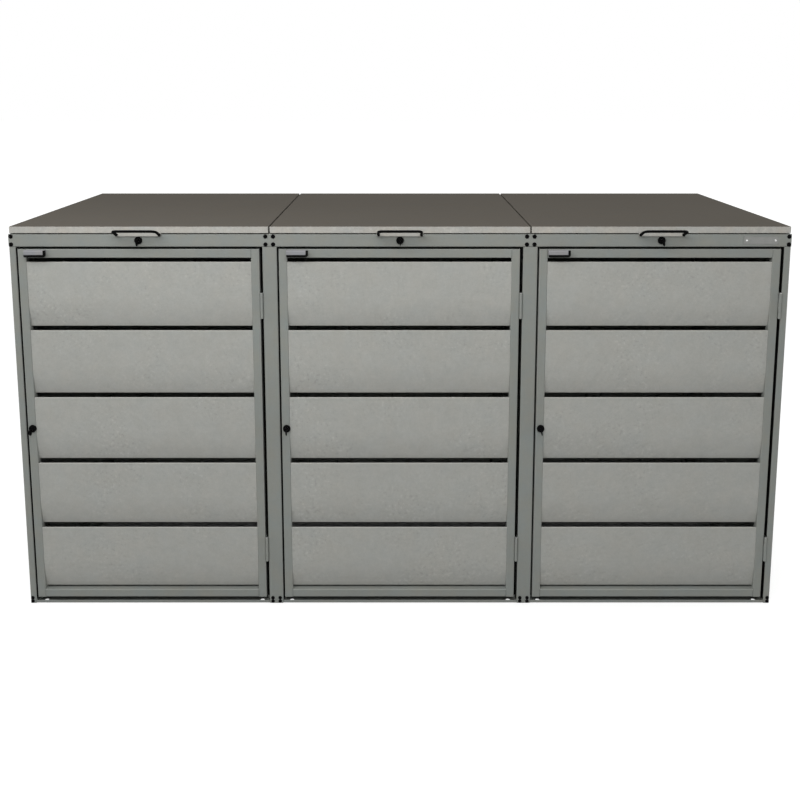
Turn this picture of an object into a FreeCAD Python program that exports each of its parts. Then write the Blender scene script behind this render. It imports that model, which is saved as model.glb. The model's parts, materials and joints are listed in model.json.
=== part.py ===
import FreeCAD, Part
import math
import os

V = FreeCAD.Vector

# Wheelie bin store with three bays. Each bay has a louvred front door hinged on its right
# and a top lid hinged at the back. Millimetres, +Z up, +X to the right seen from the front,
# +Y to the back. While the pieces are made, y = 0 is the front face of the posts and rails.

# Cabinet
BAY_NAMES = ("left", "middle", "right")
OPENING_WIDTH = 737.0
INNER_POST_WIDTH = 44.0
END_POST_WIDTH = 20.0
CABINET_DEPTH = 846.0
DOOR_FLOOR_GAP = 21.0
DOOR_HEIGHT = 1117.0
DOOR_HEAD_GAP = 6.0
TOP_RAIL_HEIGHT = 40.0
SHEET = 2.0
BEND_RADIUS = 2.0
FIT_GAP = 0.3
OVERCUT = 1.0

# Folded edges of the cabinet
RAIL_TOP_FLANGE = 15.0
RAIL_BOTTOM_FLANGE = 26.0
STOP_LIP_OVERLAP = 5.0
POST_TAB_DROP = 30.0
SIDE_RAIL_FLANGE = 20.0
STOP_GAP = 3.0
END_POST_SIDE_DEPTH = 60.0
REAR_POST_DEPTH = 40.0
GUTTER_DEPTH = 22.0
PANEL_SHEET = 1.5
PANEL_RIB_DEPTH = 8.0
PANEL_RIB_WIDTH = 46.0
SIDE_PANEL_RIBS = 3
BACK_PANEL_RIBS = 3
PANEL_EDGE_FLANGE = 18.0
PANEL_FLOOR_GAP = 3.0
PANEL_LAP = 15.0

# Base rails
BASE_LIP_HEIGHT = 9.0
BASE_FLANGE_DEPTH = 46.0
BASE_TAB_HEIGHT = 29.0
SIDE_BASE_HEIGHT = 40.0
ANCHOR_HOLE_RADIUS = 7.0
ANCHOR_HOLE_INSET = 25.0
ANCHOR_HOLE_SETBACK = 16.5

# Bolts with black domed heads
TOP_BOLT_HEAD_RADIUS = 6.4
TOP_BOLT_ROWS = (-12.0, 12.0)
FOOT_BOLT_HEAD_RADIUS = 5.6
FOOT_BOLT_HEIGHTS = (6.3, 17.8)
BOLT_COLUMN_SPACING = 22.6
END_BOLT_INSET = 7.5
BOLT_HEAD_HEIGHT = 4.0
BOLT_HEAD_RIM = 1.0
BOLT_SHANK_RADIUS = 2.5
BOLT_HOLE_CLEARANCE = 0.2
BOLT_NUT_THICKNESS = 4.0
BOLT_NUT_FLATS = 8.0
BOLT_TAIL = 2.0

# Doors
LOCK_SIDE_GAP = 5.0
HINGE_SIDE_GAP = 9.0
STILE_SIZE = 25.0
DOOR_TOP_RAIL_HEIGHT = 27.0
TUBE_WALL = 2.0
TUBE_CORNER = 2.5
DRAIN_HOLE_RADIUS = 3.0
LOUVRE_COUNT = 5
LOUVRE_GAP = 11.0
LOUVRE_TOP_GAP = 12.5
LOUVRE_BOTTOM_GAP = 7.0
LOUVRE_SHEET = 1.5
LOUVRE_SETBACK = 1.5
LOUVRE_HEM_DEPTH = 6.0
LOUVRE_HEM_HEIGHT = 12.0
LOUVRE_BOTTOM_FLANGE = 9.0
LOUVRE_BEND = 1.0
LOUVRE_CURL_SETBACK = 12.0
LOUVRE_CURL_DEG = 15.0
LOUVRE_CURL_STRAIGHT = 3.0

# Finger pull on the door's top rail
PULL_WIDTH = 60.0
PULL_HEIGHT = 16.0
PULL_REACH = 18.0
PULL_CORNER = 3.0
PULL_TRIM_DROP = 4.7
PULL_TRIM_LAP = 2.5
PULL_TRIM_SIDE = 1.2
PULL_TRIM_TOP = 0.6

# Door hinges
DOOR_HINGE_HEIGHTS = (182.0, 964.0)
DOOR_HINGE_LENGTH = 78.0
DOOR_HINGE_PROTRUSION = 6.0
DOOR_KNUCKLE_RADIUS = 4.0
DOOR_PIN_RADIUS = 2.2
DOOR_LEAF_DEPTH = 20.0
LEAF_SHEET = 1.8
PIN_CLEARANCE = 0.05
KNUCKLE_END_GAP = 0.4
LEAF_SWEEP_GAP = 0.9
PIN_HEAD_HEIGHT = 1.5
PIN_HEAD_STEP = 0.5
LEAF_NECK_REACH = 1.0

# Cam locks
LOCK_CAP_RADIUS = 11.5
LOCK_CAP_HEIGHT = 6.0
LOCK_CAP_ROUND = 2.4
LOCK_BODY_RADIUS = 9.4
LOCK_BODY_CLEARANCE = 0.2
LOCK_PLUG_RADIUS = 6.2
LOCK_PLUG_CLEARANCE = 0.1
LOCK_NUT_RADIUS = 11.0
LOCK_NUT_THICKNESS = 2.4
LOCK_CAM_THICKNESS = 3.0
LOCK_CAM_GAP = 0.5
LOCK_CAM_WIDTH = 14.0
CAM_ROOT_CORNER = 6.8
CAM_TIP_CORNER = 3.0
DOOR_LOCK_HEIGHT = 577.5
DOOR_LOCK_INSET = 15.0
DOOR_CAM_REACH = 34.0
CAM_STOP_GAP = 1.2
CAM_SCREW_RADIUS = 4.0
CAM_SCREW_HEIGHT = 2.5
KEY_THICKNESS = 2.2
KEY_BLADE_HEIGHT = 6.0
KEY_STEM_LENGTH = 8.0
KEY_BOW_RADIUS = 10.0
KEY_BOW_DROP = 4.0
KEY_BOW_OVERLAP = 2.0
KEY_RING_RADIUS = 2.5
KEY_RING_OFFSET = 4.0
KEY_RING_DROP = 2.0
KEY_END_GAP = 1.0
KEYWAY_DEPTH = 16.0
KEYWAY_CLEARANCE = 0.15
KEY_LEAN_DEG = 7.0

# Lids
LID_GAP = 3.0
LID_LIP_HEIGHT = 20.0
LID_FRONT_OVERHANG = 4.0
LID_END_SETBACK = 4.5
LID_SEAM_GAP = 4.0
LID_EDGE_RADIUS = 3.0
LID_TAB_WIDTH = 138.0
LID_TAB_DROP = 10.0
LID_TAB_CORNER = 3.0
LID_RIB_WIDTH = 40.0
LID_RIB_CROWN = 20.0
LID_RIB_HEIGHT = 14.0
LID_RIB_SPACING = 380.0
LID_RIB_END_GAP = 70.0

# Bow handles on the lids
HANDLE_CENTRES = 128.0
HANDLE_BAR_RADIUS = 4.0
HANDLE_ROOT = 8.0
HANDLE_PROJECTION = 47.0
HANDLE_TILT_DEG = 21.0
HANDLE_BEND_RADIUS = 14.0
HANDLE_FOOT_RADIUS = 4.4
HANDLE_FOOT_HEIGHT = 3.0
HANDLE_FOOT_DROP = 5.2

# Lid hinges
LID_HINGE_INSET = 130.0
LID_HINGE_LENGTH = 66.0
LID_KNUCKLE_RADIUS = 4.5
LID_PIN_RADIUS = 2.5
LID_LEAF_GAP = 0.5
LID_LEAF_HEIGHT = 30.0
LID_LEAF_TOP_MARGIN = 3.0

# Lid locks and the keepers that they hook
LID_LOCK_DROP = 19.5
LID_LOCK_BODY_LENGTH = 20.5
HOOK_HUB_RADIUS = 8.5
HOOK_INNER_RADIUS = 30.5
HOOK_OUTER_RADIUS = 35.5
HOOK_ARM_ANGLES = (63.0, 77.0)
HOOK_TIP_ANGLE = 104.0
KEEPER_PIN_RADIUS = 2.5
KEEPER_PIN_HEIGHT = 26.0
KEEPER_WIDTH = 30.0
KEEPER_FOOT = 24.0
KEEPER_DROP = 6.0
KEEPER_PLAY = 3.0
KEEPER_PIN_LEAD = 1.0
BUFFER_RADIUS = 6.5
BUFFER_TIP_RADIUS = 4.5
BUFFER_SPACING = 500.0
BUFFER_GAP = 0.4

# Bare plate on the right bay's top rail
PLATE_CENTRE_FROM_END = 91.0
PLATE_WIDTH = 105.0
PLATE_HEIGHT = 24.0
PLATE_THICKNESS = 1.0
PLATE_CORNER = 1.5
PLATE_RIVET_RADIUS = 2.2
PLATE_RIVET_HEIGHT = 0.8
PLATE_RIVET_INSET = 9.5

# Sizes that follow
bay_count = len(BAY_NAMES)
total_width = bay_count * OPENING_WIDTH + (bay_count - 1) * INNER_POST_WIDTH + 2 * END_POST_WIDTH
left_end = -total_width / 2
right_end = total_width / 2
rail_bottom = DOOR_FLOOR_GAP + DOOR_HEIGHT + DOOR_HEAD_GAP
frame_top = rail_bottom + TOP_RAIL_HEIGHT
rail_middle = rail_bottom + TOP_RAIL_HEIGHT / 2
lip_bottom = frame_top + LID_GAP
lid_top = lip_bottom + LID_LIP_HEIGHT
door_bottom = DOOR_FLOOR_GAP
door_top = DOOR_FLOOR_GAP + DOOR_HEIGHT
door_width = OPENING_WIDTH - LOCK_SIDE_GAP - HINGE_SIDE_GAP
stop_face = STILE_SIZE + STOP_GAP
stop_lip = LOCK_SIDE_GAP + STOP_LIP_OVERLAP
lid_face = -LID_FRONT_OVERHANG
handle_tilt = math.radians(HANDLE_TILT_DEG)
handle_bar_y = lid_face - HANDLE_PROJECTION * math.cos(handle_tilt)
front_reach = handle_bar_y - HANDLE_BAR_RADIUS
lid_axis_y = CABINET_DEPTH + LID_KNUCKLE_RADIUS + LID_LEAF_GAP
lid_axis_z = frame_top + LID_GAP / 2
back_reach = lid_axis_y + LID_KNUCKLE_RADIUS
footprint_middle = (front_reach + back_reach) / 2
lid_lock_z = frame_top - LID_LOCK_DROP
door_lock_body_end = stop_face + SHEET + CAM_STOP_GAP - LOCK_CAM_GAP
door_axis_y = DOOR_KNUCKLE_RADIUS - DOOR_HINGE_PROTRUSION
base_rear_face = CABINET_DEPTH - SHEET - FIT_GAP - PANEL_SHEET - PANEL_RIB_DEPTH


def opening_left(bay):
    return left_end + END_POST_WIDTH + bay * (OPENING_WIDTH + INNER_POST_WIDTH)


def opening_right(bay):
    return opening_left(bay) + OPENING_WIDTH


def bay_middle(bay):
    return opening_left(bay) + OPENING_WIDTH / 2


def inner_post_middle(index):
    return opening_right(index) + INNER_POST_WIDTH / 2


# Basic shapes

def box(x0, x1, y0, y1, z0, z1):
    return Part.makeBox(x1 - x0, y1 - y0, z1 - z0, V(x0, y0, z0))


def cylinder_x(y, z, x0, x1, radius):
    return Part.makeCylinder(radius, x1 - x0, V(x0, y, z), V(1, 0, 0))


def cylinder_y(x, z, y0, y1, radius):
    return Part.makeCylinder(radius, y1 - y0, V(x, y0, z), V(0, 1, 0))


def cylinder_z(x, y, z0, z1, radius):
    return Part.makeCylinder(radius, z1 - z0, V(x, y, z0))


def mirrored_copy(shape):
    return shape.mirror(V(0, 0, 0), V(1, 0, 0))


def fuse_all(shapes):
    whole = shapes[0].multiFuse(shapes[1:]) if len(shapes) > 1 else shapes[0]
    return whole.removeSplitter()


def group(shapes):
    return Part.makeCompound(shapes)


def on_plan(z):
    return lambda u, v: V(u, v, z)


def on_section(x):
    return lambda u, v: V(x, u, v)


def on_front(y):
    return lambda u, v: V(u, y, v)


def arc_edge(place, centre, start, end):
    # The short arc from start to end around centre, in two plane coordinates.
    middle = ((start[0] + end[0]) / 2 - centre[0], (start[1] + end[1]) / 2 - centre[1])
    reach = math.hypot(*middle)
    radius = math.hypot(start[0] - centre[0], start[1] - centre[1])
    through = (centre[0] + middle[0] * radius / reach, centre[1] + middle[1] * radius / reach)
    return Part.Arc(place(*start), place(*through), place(*end)).toShape()


def rounded_outline(points, radii, place):
    # A closed outline whose corners have the given radii.
    count = len(points)
    starts = []
    ends = []
    centres = []
    for i in range(count):
        before = points[i - 1]
        here = points[i]
        after = points[(i + 1) % count]
        into = unit(before, here)
        out = unit(here, after)
        turn = math.acos(max(-1.0, min(1.0, into[0] * out[0] + into[1] * out[1])))
        side = 1 if into[0] * out[1] - into[1] * out[0] > 0 else -1
        run = radii[i] * math.tan(turn / 2)
        start = (here[0] - into[0] * run, here[1] - into[1] * run)
        starts.append(start)
        ends.append((here[0] + out[0] * run, here[1] + out[1] * run))
        centres.append((start[0] - side * into[1] * radii[i], start[1] + side * into[0] * radii[i]))
    edges = []
    for i in range(count):
        if radii[i] > 0:
            edges.append(arc_edge(place, centres[i], starts[i], ends[i]))
        following = starts[(i + 1) % count]
        if math.dist(ends[i], following) > 1e-6:
            edges.append(Part.LineSegment(place(*ends[i]), place(*following)).toShape())
    return Part.Face(Part.Wire(edges))


def unit(start, end):
    length = math.dist(start, end)
    return ((end[0] - start[0]) / length, (end[1] - start[1]) / length)


def folded_sheet(path, thickness, side, place, sweep, radii=None):
    # A bent sheet of even thickness. The path is the outer face; side is 1 when the metal
    # lies to the left of the path and -1 when it lies to the right.
    inner = []
    for i, here in enumerate(path):
        into = unit(path[i - 1], here) if i > 0 else unit(here, path[i + 1])
        out = unit(here, path[i + 1]) if i < len(path) - 1 else into
        half = math.acos(max(-1.0, min(1.0, into[0] * out[0] + into[1] * out[1]))) / 2
        mitre = (-into[1] - out[1], into[0] + out[0])
        size = math.hypot(*mitre)
        step = side * thickness / math.cos(half) / size
        inner.append((here[0] + mitre[0] * step, here[1] + mitre[1] * step))
    outer_radii = []
    inner_radii = []
    for i in range(len(path)):
        if i in (0, len(path) - 1):
            outer_radii.append(0.0)
            inner_radii.append(0.0)
            continue
        into = unit(path[i - 1], path[i])
        out = unit(path[i], path[i + 1])
        turns_left = into[0] * out[1] - into[1] * out[0] > 0
        metal_inside = turns_left == (side > 0)
        bend = radii[i] if radii else BEND_RADIUS
        outer_radii.append(bend + thickness if metal_inside else bend)
        inner_radii.append(bend if metal_inside else bend + thickness)
    points = list(path) + inner[::-1]
    face = rounded_outline(points, outer_radii + inner_radii[::-1], place)
    return face.extrude(sweep)


def rounded_tube(size_u, size_v, place, sweep, corner, wall):
    # A welded rectangular tube with rounded corners, its outline starting at the origin corner.
    def outline(inset, radius):
        low_u, high_u = size_u[0] + inset, size_u[1] - inset
        low_v, high_v = size_v[0] + inset, size_v[1] - inset
        corners = [(low_u, low_v), (high_u, low_v), (high_u, high_v), (low_u, high_v)]
        return rounded_outline(corners, [radius] * 4, place).extrude(sweep)
    return outline(0, corner).cut(outline(wall, corner - wall))


def hexagon_nut(x, z, y0, y1, flats):
    corner = flats / math.sqrt(3)
    sides = 6
    points = []
    for i in range(sides):
        angle = 2 * math.pi * i / sides
        points.append(V(x + corner * math.cos(angle), y0, z + corner * math.sin(angle)))
    return Part.Face(Part.makePolygon(points + points[:1])).extrude(V(0, y1 - y0, 0))


def domed_bolt(x, z, head_radius, grip):
    # Black domed head on the front face, shank through the joint and a nut behind it.
    dome = BOLT_HEAD_HEIGHT - BOLT_HEAD_RIM
    crown = (head_radius ** 2 + dome ** 2) / (2 * dome)
    half = math.asin(head_radius / crown) / 2
    top = V(x, -BOLT_HEAD_HEIGHT, z)
    mid = V(x + crown * math.sin(half), crown * (1 - math.cos(half)) - BOLT_HEAD_HEIGHT, z)
    side = V(x + head_radius, -BOLT_HEAD_RIM, z)
    foot = V(x + head_radius, 0, z)
    hub = V(x, 0, z)
    wire = Part.Wire([Part.Arc(top, mid, side).toShape(), Part.LineSegment(side, foot).toShape(),
                      Part.LineSegment(foot, hub).toShape(), Part.LineSegment(hub, top).toShape()])
    head = Part.Face(wire).revolve(V(x, 0, z), V(0, 1, 0), 360)
    shank = cylinder_y(x, z, -BOLT_HEAD_RIM, grip + BOLT_NUT_THICKNESS + BOLT_TAIL, BOLT_SHANK_RADIUS)
    nut = hexagon_nut(x, z, grip, grip + BOLT_NUT_THICKNESS, BOLT_NUT_FLATS)
    return fuse_all([head, shank, nut])


def bolt_columns():
    # x of every column of frame bolts: one per end post, two per inner post.
    columns = [left_end + END_BOLT_INSET, right_end - END_BOLT_INSET]
    for i in range(bay_count - 1):
        columns.append(inner_post_middle(i) - BOLT_COLUMN_SPACING / 2)
        columns.append(inner_post_middle(i) + BOLT_COLUMN_SPACING / 2)
    return columns


def bolt_holes(heights):
    radius = BOLT_SHANK_RADIUS + BOLT_HOLE_CLEARANCE
    return [cylinder_y(x, z, -OVERCUT, 2 * SHEET + OVERCUT, radius) for x in bolt_columns() for z in heights]


def top_bolt_heights():
    return [rail_middle + row for row in TOP_BOLT_ROWS]


# Front posts

def post_body(path):
    # Folded post from the floor to the underside of the top rail, with a tab behind each rail.
    body = folded_sheet(path, SHEET, 1, on_plan(0), V(0, 0, rail_bottom - FIT_GAP))
    xs = [point[0] for point in path]
    behind_face = box(min(xs) - OVERCUT, max(xs) + OVERCUT, SHEET, END_POST_SIDE_DEPTH + OVERCUT,
                      -OVERCUT, SHEET + FIT_GAP)
    return body.cut(behind_face)


def post_tab(x0, x1):
    # Doubler behind the post's face that reaches up behind the top rail for its bolts.
    top = frame_top - SHEET - BEND_RADIUS - FIT_GAP
    return box(x0, x1, SHEET, 2 * SHEET, rail_bottom - POST_TAB_DROP, top)


def inner_post(index):
    middle = inner_post_middle(index)
    half = INNER_POST_WIDTH / 2
    path = [(middle - half - stop_lip, stop_face), (middle - half, stop_face), (middle - half, 0),
            (middle + half, 0), (middle + half, stop_face), (middle + half + stop_lip, stop_face)]
    tab_half = half - SHEET - BEND_RADIUS
    tab = post_tab(middle - tab_half, middle + tab_half)
    post = fuse_all([post_body(path), tab])
    return post.cut(bolt_holes(top_bolt_heights() + list(FOOT_BOLT_HEIGHTS)))


def end_post(mirrored):
    path = [(left_end, END_POST_SIDE_DEPTH), (left_end, 0), (left_end + END_POST_WIDTH, 0),
            (left_end + END_POST_WIDTH, stop_face), (left_end + END_POST_WIDTH + stop_lip, stop_face)]
    inside = SHEET + BEND_RADIUS
    tab = post_tab(left_end + inside, left_end + END_POST_WIDTH - inside)
    post = fuse_all([post_body(path), tab])
    post = post.cut(bolt_holes(top_bolt_heights() + list(FOOT_BOLT_HEIGHTS)))
    return mirrored_copy(post) if mirrored else post


# Top frame

def end_clearances(reach, y0, y1):
    # Room at both ends of a front or rear rail, behind its web, for what meets it there.
    left = box(left_end - OVERCUT, left_end + reach, y0, y1, rail_bottom - OVERCUT, frame_top + OVERCUT)
    return [left, mirrored_copy(left)]


def top_front_rail():
    path = [(RAIL_TOP_FLANGE, frame_top), (0, frame_top), (0, rail_bottom), (RAIL_BOTTOM_FLANGE, rail_bottom)]
    rail = folded_sheet(path, SHEET, 1, on_section(left_end), V(total_width, 0, 0))
    cuts = bolt_holes(top_bolt_heights())
    lock_hole = LOCK_BODY_RADIUS + LOCK_BODY_CLEARANCE
    for bay in range(bay_count):
        cuts.append(cylinder_y(bay_middle(bay), lid_lock_z, -OVERCUT, SHEET + OVERCUT, lock_hole))
    for i in range(bay_count - 1):
        half = INNER_POST_WIDTH / 2 - SHEET - BEND_RADIUS + FIT_GAP
        cuts.append(box(inner_post_middle(i) - half, inner_post_middle(i) + half, SHEET, 2 * SHEET + FIT_GAP,
                        rail_bottom - OVERCUT, rail_bottom + SHEET + BEND_RADIUS))
    cuts += end_clearances(END_POST_WIDTH, SHEET, RAIL_BOTTOM_FLANGE + OVERCUT)
    return rail.cut(cuts)


def top_rear_rail():
    back = CABINET_DEPTH
    path = [(back - RAIL_BOTTOM_FLANGE, rail_bottom), (back, rail_bottom), (back, frame_top),
            (back - RAIL_TOP_FLANGE, frame_top)]
    rail = folded_sheet(path, SHEET, 1, on_section(left_end), V(total_width, 0, 0))
    return rail.cut(end_clearances(SHEET + BEND_RADIUS, back - RAIL_BOTTOM_FLANGE - OVERCUT, back - SHEET))


def side_rail(mirrored):
    # Channel along the side whose web reaches the front and rear rails.
    inner = left_end + SIDE_RAIL_FLANGE
    path = [(inner, rail_bottom), (left_end, rail_bottom), (left_end, frame_top), (inner, frame_top)]
    start = SHEET
    end = CABINET_DEPTH - SHEET
    rail = folded_sheet(path, SHEET, -1, on_front(start), V(0, end - start, 0))
    bottom = rail_bottom - OVERCUT
    top = frame_top + OVERCUT
    beyond = inner + OVERCUT
    behind_tab = box(left_end + SHEET, beyond, start, 2 * SHEET + FIT_GAP, bottom, top)
    rear_start = CABINET_DEPTH - RAIL_BOTTOM_FLANGE - FIT_GAP
    at_rear_rail = box(left_end + SHEET + BEND_RADIUS, beyond, rear_start, CABINET_DEPTH, bottom, top)
    rail = rail.cut([behind_tab, at_rear_rail])
    return mirrored_copy(rail) if mirrored else rail


def gutter_rail(index):
    # Channel from front to back that catches rain under the seam between two lids.
    middle = inner_post_middle(index)
    half = INNER_POST_WIDTH / 2
    rim = frame_top - SHEET - FIT_GAP
    path = [(middle - half, rim), (middle - half, rim - GUTTER_DEPTH), (middle + half, rim - GUTTER_DEPTH),
            (middle + half, rim)]
    length = CABINET_DEPTH - 3 * SHEET
    gutter = folded_sheet(path, SHEET, 1, on_front(2 * SHEET), V(0, length, 0))
    bend = SHEET + BEND_RADIUS + FIT_GAP
    beyond = half + OVERCUT
    return gutter.cut(box(middle - beyond, middle + beyond, CABINET_DEPTH - bend, CABINET_DEPTH,
                          frame_top - bend, frame_top))


# Base frame

def base_front_rail():
    inside_left = left_end + SHEET + FIT_GAP
    inside_right = right_end - SHEET - FIT_GAP
    pieces = [box(inside_left, inside_right, SHEET + FIT_GAP, BASE_FLANGE_DEPTH, 0, SHEET)]
    for bay in range(bay_count):
        x0 = opening_left(bay) + FIT_GAP
        x1 = opening_right(bay) - FIT_GAP
        path = [(0, BASE_LIP_HEIGHT), (0, 0), (BASE_FLANGE_DEPTH, 0)]
        pieces.append(folded_sheet(path, SHEET, 1, on_section(x0), V(x1 - x0, 0, 0)))
    tab_inset = SHEET + BEND_RADIUS + FIT_GAP
    spans = [(left_end + tab_inset, left_end + END_POST_WIDTH - tab_inset),
             (right_end - END_POST_WIDTH + tab_inset, right_end - tab_inset)]
    for i in range(bay_count - 1):
        half = INNER_POST_WIDTH / 2 - tab_inset
        spans.append((inner_post_middle(i) - half, inner_post_middle(i) + half))
    for x0, x1 in spans:
        pieces.append(box(x0, x1, SHEET, 2 * SHEET, 0, BASE_TAB_HEIGHT))
    rail = fuse_all(pieces)
    holes = bolt_holes(FOOT_BOLT_HEIGHTS)
    for bay in range(bay_count):
        for x in (opening_left(bay) + ANCHOR_HOLE_INSET, opening_right(bay) - ANCHOR_HOLE_INSET):
            holes.append(cylinder_z(x, ANCHOR_HOLE_SETBACK, -OVERCUT, SHEET + OVERCUT, ANCHOR_HOLE_RADIUS))
    return rail.cut(holes)


def base_rear_rail():
    back = base_rear_face
    path = [(back, SIDE_BASE_HEIGHT), (back, 0), (back - BASE_FLANGE_DEPTH, 0)]
    x0 = left_end + END_POST_WIDTH + FIT_GAP
    x1 = right_end - END_POST_WIDTH - FIT_GAP
    rail = folded_sheet(path, SHEET, -1, on_section(x0), V(x1 - x0, 0, 0))
    cuts = []
    for i in range(bay_count - 1):
        half = INNER_POST_WIDTH / 2 + FIT_GAP
        cuts.append(box(inner_post_middle(i) - half, inner_post_middle(i) + half,
                        CABINET_DEPTH - REAR_POST_DEPTH, CABINET_DEPTH, -OVERCUT, SIDE_BASE_HEIGHT + OVERCUT))
    for bay in range(bay_count):
        room = PANEL_SHEET + 3 * FIT_GAP
        flange_front = CABINET_DEPTH - SHEET - PANEL_EDGE_FLANGE - FIT_GAP
        for x in (opening_left(bay), opening_right(bay) - room):
            cuts.append(box(x, x + room, flange_front, CABINET_DEPTH, PANEL_FLOOR_GAP - FIT_GAP,
                            SIDE_BASE_HEIGHT + OVERCUT))
    return rail.cut(cuts)


def base_side_rail(mirrored):
    face = left_end + SHEET + FIT_GAP + PANEL_SHEET + PANEL_RIB_DEPTH
    path = [(face, SIDE_BASE_HEIGHT), (face, 0), (face + BASE_FLANGE_DEPTH, 0)]
    y0 = BASE_FLANGE_DEPTH + FIT_GAP
    y1 = base_rear_face - BASE_FLANGE_DEPTH - FIT_GAP
    rail = folded_sheet(path, SHEET, 1, on_front(y0), V(0, y1 - y0, 0))
    return mirrored_copy(rail) if mirrored else rail


# Rear posts and panels

def rear_post(x0, x1):
    back = CABINET_DEPTH
    path = [(x0, back - REAR_POST_DEPTH), (x0, back), (x1, back), (x1, back - REAR_POST_DEPTH)]
    return folded_sheet(path, SHEET, -1, on_plan(0), V(0, 0, rail_bottom - FIT_GAP))


def ribbed_path(start, end, level, depth, ribs, rib_width):
    # Outer face of a panel with pressed ribs that step inwards by depth, their flanks at 45 degrees.
    slope = abs(depth)
    pitch = (end - start) / ribs
    points = [(start, level)]
    for i in range(ribs):
        centre = start + pitch * (i + 0.5)
        half = rib_width / 2
        points += [(centre - half - slope, level), (centre - half, level + depth),
                   (centre + half, level + depth), (centre + half + slope, level)]
    points.append((end, level))
    return points


def back_panel(bay):
    x0 = opening_left(bay) + FIT_GAP
    x1 = opening_right(bay) - FIT_GAP
    level = CABINET_DEPTH - SHEET
    inset = PANEL_EDGE_FLANGE + BEND_RADIUS + PANEL_SHEET
    ribs = ribbed_path(x0 + inset, x1 - inset, level, -PANEL_RIB_DEPTH, BACK_PANEL_RIBS, PANEL_RIB_WIDTH)
    path = [(x0, level - PANEL_EDGE_FLANGE), (x0, level)]
    path += ribs[1:-1]
    path += [(x1, level), (x1, level - PANEL_EDGE_FLANGE)]
    height = rail_bottom - FIT_GAP - PANEL_FLOOR_GAP
    return folded_sheet(path, PANEL_SHEET, -1, on_plan(PANEL_FLOOR_GAP), V(0, 0, height))


def side_panel(mirrored):
    start = END_POST_SIDE_DEPTH - PANEL_LAP
    end = CABINET_DEPTH - REAR_POST_DEPTH + PANEL_LAP
    level = left_end + SHEET
    along = ribbed_path(start, end, level, PANEL_RIB_DEPTH, SIDE_PANEL_RIBS, PANEL_RIB_WIDTH)
    path = [(v, u) for u, v in along]
    height = rail_bottom - FIT_GAP - PANEL_FLOOR_GAP
    panel = folded_sheet(path, PANEL_SHEET, -1, on_plan(PANEL_FLOOR_GAP), V(0, 0, height))
    return mirrored_copy(panel) if mirrored else panel


# Doors

def door_left_x(bay):
    return opening_left(bay) + LOCK_SIDE_GAP


def door_right_x(bay):
    return opening_right(bay) - HINGE_SIDE_GAP


def door_lock_x(bay):
    return door_left_x(bay) + DOOR_LOCK_INSET


def stile(x0, bay, with_lock):
    # Square tube with a cap at each end and a drain hole in the lower cap.
    tube = rounded_tube((x0, x0 + STILE_SIZE), (0, STILE_SIZE), on_plan(door_bottom), V(0, 0, DOOR_HEIGHT),
                        TUBE_CORNER, TUBE_WALL)
    inside = TUBE_WALL / 2
    caps = []
    for z in (door_bottom, door_top - TUBE_WALL):
        caps.append(box(x0 + inside, x0 + STILE_SIZE - inside, inside, STILE_SIZE - inside, z, z + TUBE_WALL))
    drain = cylinder_z(x0 + STILE_SIZE / 2, STILE_SIZE / 2, door_bottom - OVERCUT,
                       door_bottom + TUBE_WALL + OVERCUT, DRAIN_HOLE_RADIUS)
    post = fuse_all([tube] + caps).cut(drain)
    if with_lock:
        post = post.cut(cylinder_y(door_lock_x(bay), DOOR_LOCK_HEIGHT, -OVERCUT, STILE_SIZE + OVERCUT,
                                   LOCK_BODY_RADIUS + LOCK_BODY_CLEARANCE))
    return post


def door_rail(x0, x1, z0, height):
    return rounded_tube((0, STILE_SIZE), (z0, z0 + height), on_section(x0), V(x1 - x0, 0, 0),
                        TUBE_CORNER, TUBE_WALL)


def door_frame(bay):
    x0 = door_left_x(bay)
    x1 = door_right_x(bay)
    inner_left = x0 + STILE_SIZE
    inner_right = x1 - STILE_SIZE
    pieces = [stile(x0, bay, True), stile(x1 - STILE_SIZE, bay, False),
              door_rail(inner_left, inner_right, door_top - DOOR_TOP_RAIL_HEIGHT, DOOR_TOP_RAIL_HEIGHT),
              door_rail(inner_left, inner_right, door_bottom, STILE_SIZE)]
    for height in DOOR_HINGE_HEIGHTS:
        pieces.append(door_hinge_leaf(bay, height, True))
    return group(pieces)


def louvres(bay):
    # Blades with a hemmed top edge and a lower part that curls back to a short flange.
    x0 = door_left_x(bay) + STILE_SIZE
    x1 = door_right_x(bay) - STILE_SIZE
    top = door_top - DOOR_TOP_RAIL_HEIGHT
    clear_height = top - (door_bottom + STILE_SIZE)
    gaps = LOUVRE_TOP_GAP + LOUVRE_BOTTOM_GAP + (LOUVRE_COUNT - 1) * LOUVRE_GAP
    blade_height = (clear_height - gaps) / LOUVRE_COUNT
    front = LOUVRE_SETBACK
    back = front + LOUVRE_CURL_SETBACK
    hem = front + LOUVRE_HEM_DEPTH
    curl_angle = math.radians(LOUVRE_CURL_DEG)
    curl_drop = LOUVRE_CURL_SETBACK / math.tan(curl_angle)
    curl_run = LOUVRE_CURL_SETBACK / math.sin(curl_angle) - LOUVRE_CURL_STRAIGHT
    curl_radius = curl_run / math.tan(curl_angle / 2) - LOUVRE_SHEET
    radii = [0, LOUVRE_BEND, LOUVRE_BEND, curl_radius, LOUVRE_BEND, 0]
    blades = []
    for i in range(LOUVRE_COUNT):
        high = top - LOUVRE_TOP_GAP - i * (blade_height + LOUVRE_GAP)
        low = high - blade_height
        path = [(hem, high - LOUVRE_HEM_HEIGHT), (hem, high), (front, high), (front, low + curl_drop),
                (back, low), (back + LOUVRE_BOTTOM_FLANGE, low)]
        blades.append(folded_sheet(path, LOUVRE_SHEET, 1, on_section(x0), V(x1 - x0, 0, 0), radii))
    return group(blades)


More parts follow.
